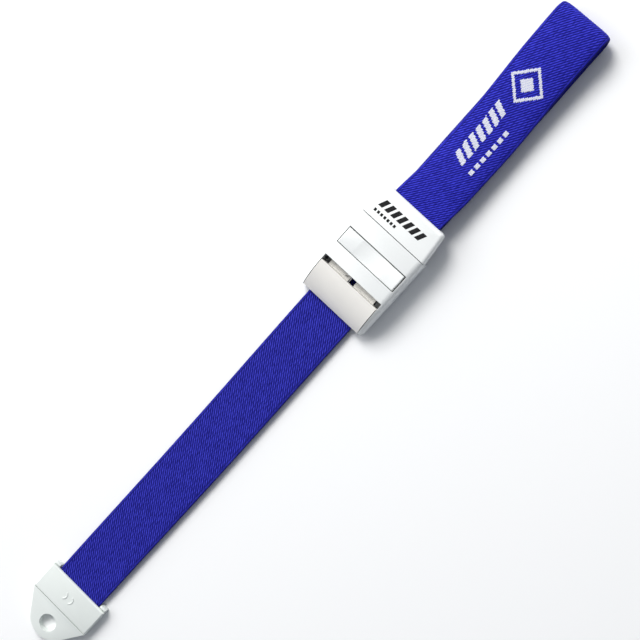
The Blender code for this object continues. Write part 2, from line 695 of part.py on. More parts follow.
clear_scene()
PARTS = new_collection("tourniquet")
CUTTERS = new_collection("cutters", hidden=True)
make_strap()
make_housing()
make_base_plate()
make_rocker()
make_axle()
make_rocker_spring()
make_button()
make_latch()
make_button_spring("button_spring_left", SPRING_Y)
make_button_spring("button_spring_right", -SPRING_Y)
make_clip_base()
make_clip_cover()
make_tab_base()
make_tab_cover()
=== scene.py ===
import math

import bmesh
import bpy
import numpy as np
from mathutils import Matrix, Vector


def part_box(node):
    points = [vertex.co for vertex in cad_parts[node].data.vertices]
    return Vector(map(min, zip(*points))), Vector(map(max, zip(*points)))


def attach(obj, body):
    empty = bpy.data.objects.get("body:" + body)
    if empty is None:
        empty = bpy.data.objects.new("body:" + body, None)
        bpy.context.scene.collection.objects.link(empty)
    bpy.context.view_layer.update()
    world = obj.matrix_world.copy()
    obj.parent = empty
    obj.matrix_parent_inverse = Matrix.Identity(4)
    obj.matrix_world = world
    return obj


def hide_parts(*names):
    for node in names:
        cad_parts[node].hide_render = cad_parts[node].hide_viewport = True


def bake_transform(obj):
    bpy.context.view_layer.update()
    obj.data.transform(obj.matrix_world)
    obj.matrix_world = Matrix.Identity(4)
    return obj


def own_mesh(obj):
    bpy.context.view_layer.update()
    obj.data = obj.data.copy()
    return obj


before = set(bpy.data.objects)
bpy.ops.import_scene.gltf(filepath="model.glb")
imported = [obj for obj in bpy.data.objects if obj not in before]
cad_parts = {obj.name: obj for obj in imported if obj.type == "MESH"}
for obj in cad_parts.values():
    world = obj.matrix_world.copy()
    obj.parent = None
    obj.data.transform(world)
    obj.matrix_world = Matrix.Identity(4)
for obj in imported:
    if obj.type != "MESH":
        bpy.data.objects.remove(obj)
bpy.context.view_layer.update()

MM = 0.001

# Camera: it looks down past the buckle's loop side and -Y side, with +X running to the upper right
CAMERA_TARGET = (14.4 * MM, 0.5 * MM, 0)
CAMERA_LEAN_X = math.radians(10)
CAMERA_LEAN_Y = math.radians(7.6)
CAMERA_DISTANCE = 541 * MM
CAMERA_LENS = 70.3
SENSOR_WIDTH = 36
STRAP_ANGLE = math.radians(48.03)

# Light: soft boxes by name, place, size, power in watts and colour, and the studio round them
SOFT_BOXES = [
    ("key", (0.55, 0.8, 0.95), (0.6, 0.6), 15.5, (1.0, 0.99, 0.97)),
    ("fill", (-0.25, 1.0, 0.8), (0.9, 0.6), 4.5, (0.97, 0.98, 1.0)),
]
# The studio's colours from its -X -Y side to its +X +Y side
STUDIO_STOPS = [(0.0, (0.07, 0.08, 0.1)), (0.45, (0.42, 0.45, 0.5)), (0.85, (1.0, 1.0, 1.0))]
STUDIO_X_SHARE = 0.35  # how much +X counts beside +Y on the studio's bright side
STUDIO_STRENGTH = 0.98
OVERHEAD_STRENGTH = 0.32
OVERHEAD_FROM, OVERHEAD_FULL = 0.62, 0.97  # heights on the unit sphere between which the studio dims
FLOOR_SIZE = 6
FLOOR_COLOUR = (0.93, 0.935, 0.94, 1)
FLOOR_ROUGHNESS = 0.9

# Colours, from dark to light where there are two
WHITE_PLASTIC = (0.865, 0.885, 0.88)
ROCKER_PLASTIC = (0.83, 0.81, 0.77)
TAB_PLASTIC = (0.76, 0.8, 0.775)
STEEL_DARK, STEEL_LIGHT = (0.42, 0.42, 0.44), (0.62, 0.62, 0.64)
INK_DARK, INK_LIGHT = (0.006, 0.006, 0.007), (0.02, 0.02, 0.022)
FIGURE_DARK, FIGURE_LIGHT = (0.62, 0.64, 0.74), (0.88, 0.89, 0.93)
SHEEN_COLOUR = (0.3, 0.35, 1.0, 1)
# The webbing's blue, from dark to light by the weave's height and its own tone: painted shade in the
# weave's valleys, painted light on its crests
CLOTH_STOPS = [(0.1, (0.003, 0.003, 0.08)), (0.5, (0.012, 0.013, 0.252)), (0.9, (0.053, 0.058, 0.59))]
LOOP_TINT = (0.95, 0.95, 1.16)  # the side that faces up on the loop is a little bluer
# Painted shade in the groove along each selvedge, and on the webbing's rim
GROOVE_SHADE_COLOUR = (0.004, 0.004, 0.07)
RIM_SHADE_COLOUR = (0.004, 0.004, 0.06)

# Noise in the materials: scales are in repeats to the metre, and a stretch packs a noise along an axis
NOISE = (0.3, 0.7)  # nearly all of a noise's values lie between these
FLOW_SCALE, FLOW_DARK, FLOW_LIGHT, FLOW_ROUGHNESS = 90, 0.985, 1.01, 0.08
GRAIN_SCALE, GRAIN_HEIGHT = 2600, 0.006 * MM
SCUFF_SCALE, SCUFF_STRETCH = 260, (1, 14, 4)
SCUFF_NOISE = (0.62, 0.72)  # a scuff begins at the first of these and is full at the second
SCUFF_SHARE, SCUFF_DARK, SCUFF_ROUGHNESS = 0.25, 0.9, 0.12
WIRE_SCALE, WIRE_STRETCH, WIRE_HEIGHT = 1500, (1, 6, 1), 0.004 * MM
INK_SCALE = 3200
FUZZ_SCALE, FUZZ_STRETCH, FUZZ_SHARE = 1900, (1, 3, 1), 0.2
FIBRE_SCALE, FIBRE_STRETCH, FIBRE_HEIGHT = 2500, (1, 8, 1), 0.03 * MM
UNEVEN_SCALE, UNEVEN_TONE = 330, 0.03
LUCK_TONE = 0.1  # how much darker or lighter than its neighbours one float may be

# Roughness from one end of a noise to the other, and the gloss of the dull materials
STEEL_ROUGHNESS = (0.22, 0.4)
INK_ROUGHNESS = (0.45, 0.65)
CLOTH_ROUGHNESS = (0.62, 0.85)
INK_SPECULAR, CLOTH_SPECULAR = 0.15, 0.09

# Webbing: one length, from its end in the pull tab, through the buckle, round the loop's end and into
# the clip. Heights are those of its middle.
WIDTH = 25 * MM
THICKNESS = 1.4 * MM
RUN_Z = 2.2 * MM  # on the straight run through the buckle
CLIP_Z = 9 * MM  # in the clip
FLOOR_RUN_Z = 0.85 * MM  # on the run that lies on the surface under the loop
FOLD_TOP_Z = 10.5 * MM  # at the top of the fold
END_REACH = 9.9 * MM  # how far each end goes into the clip's and the tab's pockets
SAG = 2.0 * MM  # how far the loop's upper run hangs down
CROWN = 1.0 * MM  # how far the edges of the loop's upper run turn down
FOLD_SKEW = -0.2 * MM  # how far the loop's end leans towards the tab at its +Y edge
FOLD_REACH = 0.55 * MM  # how far the loop's end lies past the plain strap's
FOLD_ROUND = 0.9 * MM  # how far the loop's end draws back at its corners
TAIL_BOW = -0.45 * MM  # sideways bow of the tail
LOOP_SWING = 0.4 * MM  # how far the loop's end lies off the middle line
LOOP_DIP = -1.3 * MM  # how far the loop's upper run lies off it beside the clip

# Where those shapes begin and end. A minus sign means before a place, and not past it.
DROP_FROM, DROP_TO = 3 * MM, 27 * MM  # down to the surface, past the buckle's mouth
SWING_FROM, SWING_TO = 62 * MM, 94 * MM  # past the clip's mouth
DIP_FROM, DIP_FULL, DIP_FADE, DIP_TO = -8 * MM, 18 * MM, 38 * MM, 80 * MM  # past the clip's mouth
CROWN_FROM, CROWN_FULL = -8 * MM, 12 * MM  # past the fold's end
CROWN_FADE, CROWN_TO = 16 * MM, 1 * MM  # before the clip's mouth
SKEW_RUN, CORNER_RUN = 60 * MM, 12 * MM  # before and past the fold

# How finely the webbing's middle line is drawn
ROUTE_STEP = 0.2 * MM
FOLD_POINTS = 80
TANGENT_REACH = 0.3 * MM
SAME_PLACE = 1e-6 * MM  # points closer than this are one

# Weave: a 2/1 twill, so each repeat has three warp threads and three picks
TWILL_LENGTH = 1.74 * MM  # the twill's repeat along the webbing
TWILL_WIDTH = 1.12 * MM  # and across it
TWILL_SLOPE = TWILL_LENGTH / TWILL_WIDTH
THREADS_PER_TWILL = 3
THREAD_WIDTH = TWILL_WIDTH / THREADS_PER_TWILL
PICK_LENGTH = TWILL_LENGTH / THREADS_PER_TWILL
CORE_PITCH = 4 * THREAD_WIDTH  # a rubber thread lies under every fourth warp thread
RIB_SHARE, THREAD_SHARE = 0.7, 0.25  # of the twill's ribs and of single threads in the weave's height
CORE_ON_RIBS, CORE_SHARE = 0.26, -0.095  # what a rubber thread adds to the ribs, and to the whole
WEAVE_HEIGHT = 0.08 * MM  # in the material
RIB_HEIGHT = 0.045 * MM  # in the mesh
ROWS_PER_TWILL = 4  # of the mesh's points
SELVEDGE = 1.3 * MM
GROOVE = WIDTH / 2 - SELVEDGE  # a fine groove runs along each selvedge
GROOVE_DEPTH = 0.07 * MM
GROOVE_HALF = 0.25 * MM  # half its width
# painted shade in the selvedge groove: how far it fades out either side of the groove, and how dark it
# gets
GROOVE_FADE, GROOVE_SHADE_STRENGTH = 0.3 * MM, 0.8
GROOVE_MARGIN = 0.35 * MM  # from the groove to the nearest points of the face inside it
FACE_POINTS = 29  # points across the face between the grooves
SELVEDGE_FADE = 0.4 * MM  # from the twill to the plain selvedge
# painted shade on the webbing's rim: how far in from the edge it starts, and how dark it gets at the
# edge
RIM_WIDTH, RIM_SHADE_STRENGTH = 0.45 * MM, 0.85
SIDE_FADE = 0.1 * MM  # from one side's colour to the other's, over the webbing's edge

# Woven motif: its a runs along the loop, from MOTIF_START past the clip's mouth, and its b across the
# loop towards +Y, from MOTIF_BASE
MOTIF_START, MOTIF_BASE, MOTIF_TILT = 25 * MM, -0.6 * MM, math.radians(1.5)
MOTIF_THREADS, MOTIF_PICKS = 32, 150  # it has room for so many threads each side, and picks
BAR_PITCH, BAR_WIDTH, BAR_HEIGHT, BAR_SLANT = 4.2 * MM, 2.7 * MM, 6 * MM, 0.45
BARS_LENGTH = 28.5 * MM
DASH_PERIOD, DASH_PICKS, DASH_THREADS, DASH_COUNT = 6, 4, 5, 7
DASH_DROP = 5.5 * MM  # from the bars' base to the dashes' lower edge
LOZENGE_A, LOZENGE_B = 42 * MM, 0.2 * MM
LOZENGE_HALF_A, LOZENGE_HALF_B = 8.8 * MM, 8.6 * MM
LOZENGE_RING, LOZENGE_CORE = 0.8, 0.42  # the ring's inner edge and the core, as shares of the lozenge
FLOAT_HEIGHT, FLOAT_DIP, FLOAT_END = 0.1 * MM, 0.035 * MM, 0.03 * MM  # a figure thread over the webbing
# A figure thread's section: across it in widths of a thread, and up in its height
THREAD_PROFILE = [(-0.49, -0.35), (-0.38, 0.6), (0, 1.0), (0.38, 0.6), (0.49, -0.35)]

# Print on the clip's cover: a row of bars over a row of dashes, both from its +Y side
PRINT_COUNT = 7
PRINT_PITCH, PRINT_WIDTH, PRINT_HEIGHT = 3.4 * MM, 2.2 * MM, 3.9 * MM
PRINT_DASH_PITCH, PRINT_DASH_WIDTH = 1.8 * MM, 1.15 * MM
PRINT_DASH_LOW, PRINT_DASH_HIGH = -2.9 * MM, -1.6 * MM
PRINT_BASE_X, PRINT_START_Y = 5.7 * MM, 13.3 * MM
INK_PROUD, INK_SUNK = 0.03 * MM, 0.05 * MM

# CAD nodes
MERGE, SHELL_MERGE = 0.002 * MM, 0.08 * MM  # points closer than this become one
CUT_MERGE = 0.02 * MM  # and where the webbing's ends are cut
FLAT_ANGLE = math.radians(0.4)  # faces that meet at less than this become one
SHARP_ANGLE = math.radians(32)  # edges sharper than this are rounded

_, tab_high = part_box("tab_cover")
clip_low, clip_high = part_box("clip_cover")
buckle_low, buckle_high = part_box("housing_shell")
_, strap_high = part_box("strap")
TAIL_LENGTH = buckle_low.x - tab_high.x
TAB_MOUTH_X = tab_high.x
CLIP_MOUTH_X = clip_high.x
BUCKLE_MOUTH_X = buckle_high.x
FOLD_RADIUS = (FOLD_TOP_Z - FLOOR_RUN_Z) / 2
FOLD_X = strap_high.x + FOLD_REACH - FOLD_RADIUS - THICKNESS / 2


def smooth_step(value, low, high):
    """0 up to low, 1 from high on, and soft in between."""
    t = np.clip((value - low) / (high - low), 0, 1)
    return t * t * (3 - 2 * t)


# ---------------------------------------------------------------- camera, lights and floor

def make_camera():
    """Leans the camera off the vertical, and turns it so that the webbing runs up to the right."""
    back = Vector((math.tan(CAMERA_LEAN_X), -math.tan(CAMERA_LEAN_Y), 1)).normalized()
    along = (Vector((1, 0, 0)) - back * back.x).normalized()
    across = back.cross(along)
    right = along * math.cos(STRAP_ANGLE) - across * math.sin(STRAP_ANGLE)
    up = along * math.sin(STRAP_ANGLE) + across * math.cos(STRAP_ANGLE)
    data = bpy.data.cameras.new("camera")
    data.sensor_width = SENSOR_WIDTH
    data.lens = CAMERA_LENS
    data.clip_start, data.clip_end = 0.01, 20
    camera = bpy.data.objects.new("camera", data)
    bpy.context.scene.collection.objects.link(camera)
    rotation = Matrix((right, up, back)).transposed().to_4x4()
    place = Vector(CAMERA_TARGET) + back * CAMERA_DISTANCE
    camera.matrix_world = Matrix.Translation(place) @ rotation
    bpy.context.scene.camera = camera


def area_light(name, place, size, power, colour):
    """A soft box that faces the object's middle."""
    data = bpy.data.lights.new(name, "AREA")
    data.shape = "RECTANGLE"
    data.size, data.size_y = size
    data.energy = power
    data.color = colour
    light = bpy.data.objects.new(name, data)
    bpy.context.scene.collection.objects.link(light)
    light.location = place
    light.rotation_mode = "QUATERNION"
    light.rotation_quaternion = (-Vector(place)).to_track_quat("-Z", "Y")


def make_world():
    """Studio surroundings: bright round the sides and towards +X +Y, dim overhead and towards -X -Y."""
    world = bpy.data.worlds.new("studio")
    bpy.context.scene.world = world
    world.use_nodes = True
    nodes = NodeTree(world.node_tree)
    direction = nodes.add("ShaderNodeTexCoord").outputs["Generated"]
    parts = nodes.add("ShaderNodeSeparateXYZ", Vector=direction)
    side = nodes.math("MULTIPLY_ADD", parts.outputs["X"], STUDIO_X_SHARE, parts.outputs["Y"])
    colour = nodes.ramp(nodes.math("MULTIPLY_ADD", side, 0.5, 0.5), STUDIO_STOPS)
    background = world.node_tree.nodes["Background"]
    nodes.put(background.inputs["Color"], colour)
    strength = nodes.span(
        parts.outputs["Z"], OVERHEAD_FROM, OVERHEAD_FULL, STUDIO_STRENGTH, OVERHEAD_STRENGTH
    )
    nodes.put(background.inputs["Strength"], strength)


def make_stage():
    bpy.ops.mesh.primitive_plane_add(size=FLOOR_SIZE, location=(0, 0, 0))
    floor = bpy.context.object
    floor.name = "floor"
    paint = bpy.data.materials.new("floor_white")
    paint.use_nodes = True
    shader = paint.node_tree.nodes["Principled BSDF"]
    shader.inputs["Base Color"].default_value = FLOOR_COLOUR
    shader.inputs["Roughness"].default_value = FLOOR_ROUGHNESS
    floor.data.materials.append(paint)
    make_world()
    for soft_box in SOFT_BOXES:
        area_light(*soft_box)
    view = bpy.context.scene.view_settings
    view.view_transform = "Standard"
    view.look = "None"


# ---------------------------------------------------------------- node trees

class NodeTree:
    """Short calls for building a node tree."""

    def __init__(self, tree):
        self.tree = tree

    def put(self, socket, value):
        if isinstance(value, bpy.types.NodeSocket):
            self.tree.links.new(value, socket)
        else:
            socket.default_value = value

    def add(self, kind, settings=None, **inputs):
        node = self.tree.nodes.new(kind)
        for name, value in (settings or {}).items():
            setattr(node, name, value)
        for name, value in inputs.items():
            self.put(node.inputs[name], value)
        return node

    def math(self, operation, *values):
        node = self.add("ShaderNodeMath", {"operation": operation})
        for socket, value in zip(node.inputs, values):
            self.put(socket, value)
        return node.outputs[0]

    def sine(self, value, factor):
        """The sine of value times factor."""
        return self.math("SINE", self.math("MULTIPLY", value, factor))

    def noise(self, vector, scale, detail=3, roughness=0.5):
        inputs = {"Vector": vector, "Scale": scale, "Detail": detail, "Roughness": roughness}
        return self.add("ShaderNodeTexNoise", **inputs).outputs["Fac"]

    def scaled(self, vector, scale):
        """A place whose X, Y and Z are multiplied by those of scale."""
        return self.add("ShaderNodeMapping", Vector=vector, Scale=scale).outputs[0]

    def ramp(self, factor, stops):
        node = self.add("ShaderNodeValToRGB", Fac=factor)
        elements = node.color_ramp.elements
        while len(elements) < len(stops):
            elements.new(0.5)
        for element, (place, colour) in zip(elements, stops):
            element.position = place
            element.color = (*colour, 1)
        return node.outputs["Color"]

    def span(self, value, low, high, to_low=0.0, to_high=1.0):
        """value from low to high, as a number from to_low to to_high, with soft ends."""
        node = self.add("ShaderNodeMapRange", {"clamp": True, "interpolation_type": "SMOOTHSTEP"})
        for socket, number in zip(node.inputs, (value, low, high, to_low, to_high)):
            self.put(socket, number)
        return node.outputs["Result"]

    def mix_node(self, kind, factor, a, b):
        node = self.add("ShaderNodeMix", {"data_type": kind, "clamp_factor": True})
        sockets = [s for s in node.inputs if s.enabled]
        for socket, value in zip(sockets, (factor, a, b)):
            self.put(socket, value)
        return next(s for s in node.outputs if s.enabled)

    def blend(self, factor, a, b):
        """A number from a to b."""
        return self.mix_node("FLOAT", factor, a, b)

    def mix(self, factor, a, b):
        """A colour from a to b."""
        return self.mix_node("RGBA", factor, a, b)

    def bump(self, height, distance):
        node = self.add("ShaderNodeBump", Height=height, Distance=distance, Strength=1)
        return node.outputs["Normal"]


def rgba(colour, factor=1.0):
    return (*[c * factor for c in colour], 1)


# ---------------------------------------------------------------- materials

def new_material(name):
    made = bpy.data.materials.new(name)
    made.use_nodes = True
    return made, NodeTree(made.node_tree), made.node_tree.nodes["Principled BSDF"]


def object_place(nodes):
    return nodes.add("ShaderNodeTexCoord").outputs["Object"]


def moulded_plastic(name, colour, roughness):
    """Injection-moulded plastic: a fine grain, faint flow marks and a few faint scuffs."""
    made, nodes, shader = new_material(name)
    place = object_place(nodes)
    flow = nodes.noise(place, FLOW_SCALE, 2)
    fine = nodes.noise(place, GRAIN_SCALE, 2)
    scuffs = nodes.noise(nodes.scaled(place, SCUFF_STRETCH), SCUFF_SCALE, 4, 0.65)
    worn = nodes.span(scuffs, *SCUFF_NOISE)
    shade = nodes.mix(nodes.span(flow, *NOISE), rgba(colour, FLOW_DARK), rgba(colour, FLOW_LIGHT))
    shade = nodes.mix(nodes.math("MULTIPLY", worn, SCUFF_SHARE), shade, rgba(colour, SCUFF_DARK))
    nodes.put(shader.inputs["Base Color"], shade)
    rough = nodes.math("MULTIPLY", flow, FLOW_ROUGHNESS)
    rough = nodes.math("ADD", rough, roughness - FLOW_ROUGHNESS / 2)
    nodes.put(shader.inputs["Roughness"], nodes.math("MULTIPLY_ADD", worn, SCUFF_ROUGHNESS, rough))
    height = nodes.math("SUBTRACT", fine, nodes.math("MULTIPLY", worn, 0.5))
    nodes.put(shader.inputs["Normal"], nodes.bump(height, GRAIN_HEIGHT))
    shader.inputs["Specular IOR Level"].default_value = 0.5
    return made


def spring_steel():
    """Steel wire, with fine marks from the drawing."""
    made, nodes, shader = new_material("spring_steel")
    drawn = nodes.noise(nodes.scaled(object_place(nodes), WIRE_STRETCH), WIRE_SCALE)
    nodes.put(shader.inputs["Base Color"], nodes.mix(drawn, rgba(STEEL_DARK), rgba(STEEL_LIGHT)))
    nodes.put(shader.inputs["Roughness"], nodes.span(drawn, *NOISE, *STEEL_ROUGHNESS))
    nodes.put(shader.inputs["Normal"], nodes.bump(drawn, WIRE_HEIGHT))
    shader.inputs["Metallic"].default_value = 1.0
    return made


def printing_ink():
    """Black ink with a faint speckle."""
    made, nodes, shader = new_material("black_ink")
    speckle = nodes.noise(object_place(nodes), INK_SCALE)
    nodes.put(shader.inputs["Base Color"], nodes.mix(speckle, rgba(INK_DARK), rgba(INK_LIGHT)))
    nodes.put(shader.inputs["Roughness"], nodes.span(speckle, *NOISE, *INK_ROUGHNESS))
    shader.inputs["Specular IOR Level"].default_value = INK_SPECULAR
    return made


def flat_place(nodes):
    """Where a point lies on the webbing laid flat, as a place and as three numbers: along it, across
    it, and its height on the side that faces up before the fold."""
    flat = nodes.add("ShaderNodeAttribute", {"attribute_name": "flat"}).outputs["Vector"]
    parts = nodes.add("ShaderNodeSeparateXYZ", Vector=flat)
    return flat, parts.outputs["X"], parts.outputs["Y"], parts.outputs["Z"]


def twill_height(nodes, along, across):
    """Height of a 2/1 twill's face, from 0 to about 1, and a random number for each of its floats. The
    warp threads lie side by side, and each thread's floats start one pick after its neighbour's."""
    column = nodes.math("DIVIDE", across, THREAD_WIDTH)
    column_number = nodes.math("FLOOR", column)
    shift = nodes.math("DIVIDE", column_number, THREADS_PER_TWILL)
    pick = nodes.math("SUBTRACT", nodes.math("DIVIDE", along, TWILL_LENGTH), shift)
    float_over = nodes.math("POWER", nodes.sine(nodes.math("FRACT", pick), math.pi), 0.6)
    crown = nodes.math("POWER", nodes.sine(nodes.math("FRACT", column), math.pi), 0.5)
    thread = nodes.math("MULTIPLY", float_over, crown)
    one_float = nodes.add("ShaderNodeCombineXYZ", X=column_number, Y=nodes.math("FLOOR", pick))
    luck = nodes.add("ShaderNodeTexWhiteNoise", Vector=one_float.outputs[0]).outputs["Value"]

    diagonal = nodes.math("MULTIPLY_ADD", across, -TWILL_SLOPE, along)
    diagonal = nodes.math("DIVIDE", diagonal, TWILL_LENGTH)
    rib = nodes.math("MULTIPLY_ADD", nodes.sine(diagonal, 2 * math.pi), 0.5, 0.5)
    core = nodes.sine(across, 2 * math.pi / CORE_PITCH)
    lifted = nodes.math("MULTIPLY", rib, nodes.math("MULTIPLY_ADD", core, CORE_ON_RIBS, RIB_SHARE))
    weave = nodes.math("MULTIPLY_ADD", thread, THREAD_SHARE, lifted)
    return nodes.math("MULTIPLY_ADD", core, CORE_SHARE, weave), luck


def webbing_cloth():
    """Elastic webbing: a twill face between two selvedges, with painted shade in the weave's valleys
    and in a groove and on the rim at each edge.
    """
    made, nodes, shader = new_material("webbing_blue")
    flat, along, across, out = flat_place(nodes)
    weave, luck = twill_height(nodes, along, across)
    from_middle = nodes.math("ABSOLUTE", across)
    selvedge = nodes.span(from_middle, GROOVE, GROOVE + SELVEDGE_FADE)
    loops = nodes.math("MULTIPLY_ADD", nodes.sine(along, 2 * math.pi / PICK_LENGTH), 0.2, 0.55)
    height = nodes.blend(selvedge, weave, loops)
    fuzz = nodes.noise(nodes.scaled(flat, FUZZ_STRETCH), FUZZ_SCALE, 4, 0.7)

    uneven = nodes.span(nodes.noise(flat, UNEVEN_SCALE, 2), *NOISE, -UNEVEN_TONE, UNEVEN_TONE)
    spread = nodes.math("MULTIPLY_ADD", luck, 2 * LUCK_TONE, -LUCK_TONE)
    fuzzed = nodes.math("MULTIPLY", fuzz, FUZZ_SHARE)
    # painted shade: the weave's height makes its valleys darker and its crests lighter; the fuzz, each
    # float's luck and the uneven noise are the cloth's own tone
    shade_and_tone = nodes.math("ADD", nodes.math("MULTIPLY", height, 1 - FUZZ_SHARE), fuzzed)
    shade_and_tone = nodes.math("ADD", shade_and_tone, nodes.math("ADD", spread, uneven))
    loop_stops = [(place, [c * t for c, t in zip(colour, LOOP_TINT)]) for place, colour in CLOTH_STOPS]
    before_fold = nodes.span(out, -SIDE_FADE, SIDE_FADE)
    colour = nodes.mix(before_fold, nodes.ramp(shade_and_tone, loop_stops), nodes.ramp(shade_and_tone, CLOTH_STOPS))
    # painted shade darkens the webbing in the groove along each selvedge
    from_groove = nodes.math("ABSOLUTE", nodes.math("SUBTRACT", from_middle, GROOVE))
    groove_shade = nodes.span(from_groove, 0, GROOVE_FADE, GROOVE_SHADE_STRENGTH, 0)
    colour = nodes.mix(groove_shade, colour, rgba(GROOVE_SHADE_COLOUR))
    # painted shade: the webbing's rim darkens towards its edge, on both edges
    rim_shade = nodes.span(from_middle, WIDTH / 2 - RIM_WIDTH, WIDTH / 2, 0, RIM_SHADE_STRENGTH)
    nodes.put(shader.inputs["Base Color"], nodes.mix(rim_shade, colour, rgba(RIM_SHADE_COLOUR)))
    nodes.put(shader.inputs["Roughness"], nodes.span(fuzz, *NOISE, *CLOTH_ROUGHNESS))
    relief_height = nodes.math("ADD", height, nodes.math("MULTIPLY", fuzz, 0.5))
    nodes.put(shader.inputs["Normal"], nodes.bump(relief_height, WEAVE_HEIGHT))
    shader.inputs["Specular IOR Level"].default_value = CLOTH_SPECULAR
    shader.inputs["Sheen Weight"].default_value = 0.04
    shader.inputs["Sheen Roughness"].default_value = 0.4
    shader.inputs["Sheen Tint"].default_value = SHEEN_COLOUR
    return made


def figure_thread():
    """White thread with fine fibres along it."""
    made, nodes, shader = new_material("figure_thread_white")
    flat, _, _, _ = flat_place(nodes)
    fibre = nodes.noise(nodes.scaled(flat, FIBRE_STRETCH), FIBRE_SCALE, 3, 0.6)
    nodes.put(shader.inputs["Base Color"], nodes.mix(fibre, rgba(FIGURE_DARK), rgba(FIGURE_LIGHT)))
    nodes.put(shader.inputs["Normal"], nodes.bump(fibre, FIBRE_HEIGHT))
    shader.inputs["Roughness"].default_value = 0.7
    shader.inputs["Sheen Weight"].default_value = 0.1
    return made


# ---------------------------------------------------------------- CAD nodes

def shade_with(mesh, material):
    """Drops the mesh's faceted shading and gives it one material."""
    for layer in ("custom_normal", "sharp_edge", "sharp_face"):
        if layer in mesh.attributes:
            mesh.attributes.remove(mesh.attributes[layer])
    mesh.shade_smooth()
    mesh.materials.clear()
    mesh.materials.append(material)


def finish_node(name, material, edge, merge=MERGE, clamp=True):
    """Gives a CAD node its material, and rounds its sharp edges by a width of edge. On a node with very
    short edges, clamping would leave no width at all."""
    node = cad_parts[name]
    shade_with(node.data, material)
    weld = node.modifiers.new("weld", "WELD")
    weld.merge_threshold = merge
    flat = node.modifiers.new("flat_faces", "DECIMATE")
    flat.decimate_type = "DISSOLVE"
    flat.angle_limit = FLAT_ANGLE
    bevel = node.modifiers.new("edges", "BEVEL")
    bevel.width = edge
    bevel.segments = 3
    bevel.limit_method = "ANGLE"
    bevel.angle_limit = SHARP_ANGLE
    bevel.harden_normals = True
    bevel.use_clamp_overlap = clamp


def linked_object(name, mesh):
    made = bpy.data.objects.new(name, mesh)
    bpy.context.scene.collection.objects.link(made)
    return made


def flexing_spring(name, node_name, steel):
    """A piece that stands for a CAD spring, with the same shape, and hides the CAD spring."""
    wire = bmesh.new()
    wire.from_mesh(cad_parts[node_name].data)
    bmesh.ops.remove_doubles(wire, verts=wire.verts, dist=MERGE)
    mesh = bpy.data.meshes.new(name)
    wire.to_mesh(mesh)
    wire.free()
    shade_with(mesh, steel)
    made = linked_object(name, mesh)
    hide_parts(node_name)
    return made


def make_springs(steel):
    """Pieces for the springs: the button's two go with the housing, each with a mesh of its own, and
    the rocker's keeps its place in its mesh."""
    for side in ("left", "right"):
        spring = flexing_spring(f"button_coil_{side}", f"button_spring_{side}", steel)
        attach(spring, "housing")
        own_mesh(spring)
    spring = flexing_spring("rocker_coil", "rocker_spring", steel)
    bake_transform(spring)


def finish_nodes():
    white = moulded_plastic("moulded_white", WHITE_PLASTIC, 0.3)
    rocker = moulded_plastic("moulded_rocker", ROCKER_PLASTIC, 0.36)
    pale = moulded_plastic("moulded_tab", TAB_PLASTIC, 0.38)
    steel = spring_steel()
    finish_node("housing_shell", white, 0.15 * MM, merge=SHELL_MERGE, clamp=False)
    for name in ("release_button", "clip_cover", "clip_base"):
        finish_node(name, white, 0.22 * MM)
    finish_node("base_plate", white, 0.15 * MM)
    finish_node("latch_bar", white, 0.12 * MM)
    finish_node("rocker_lever", rocker, 0.16 * MM, clamp=False)
    for name in ("tab_base", "tab_cover"):
        finish_node(name, pale, 0.12 * MM)
    finish_node("rocker_axle", steel, 0.1 * MM)
    make_springs(steel)


# ---------------------------------------------------------------- webbing

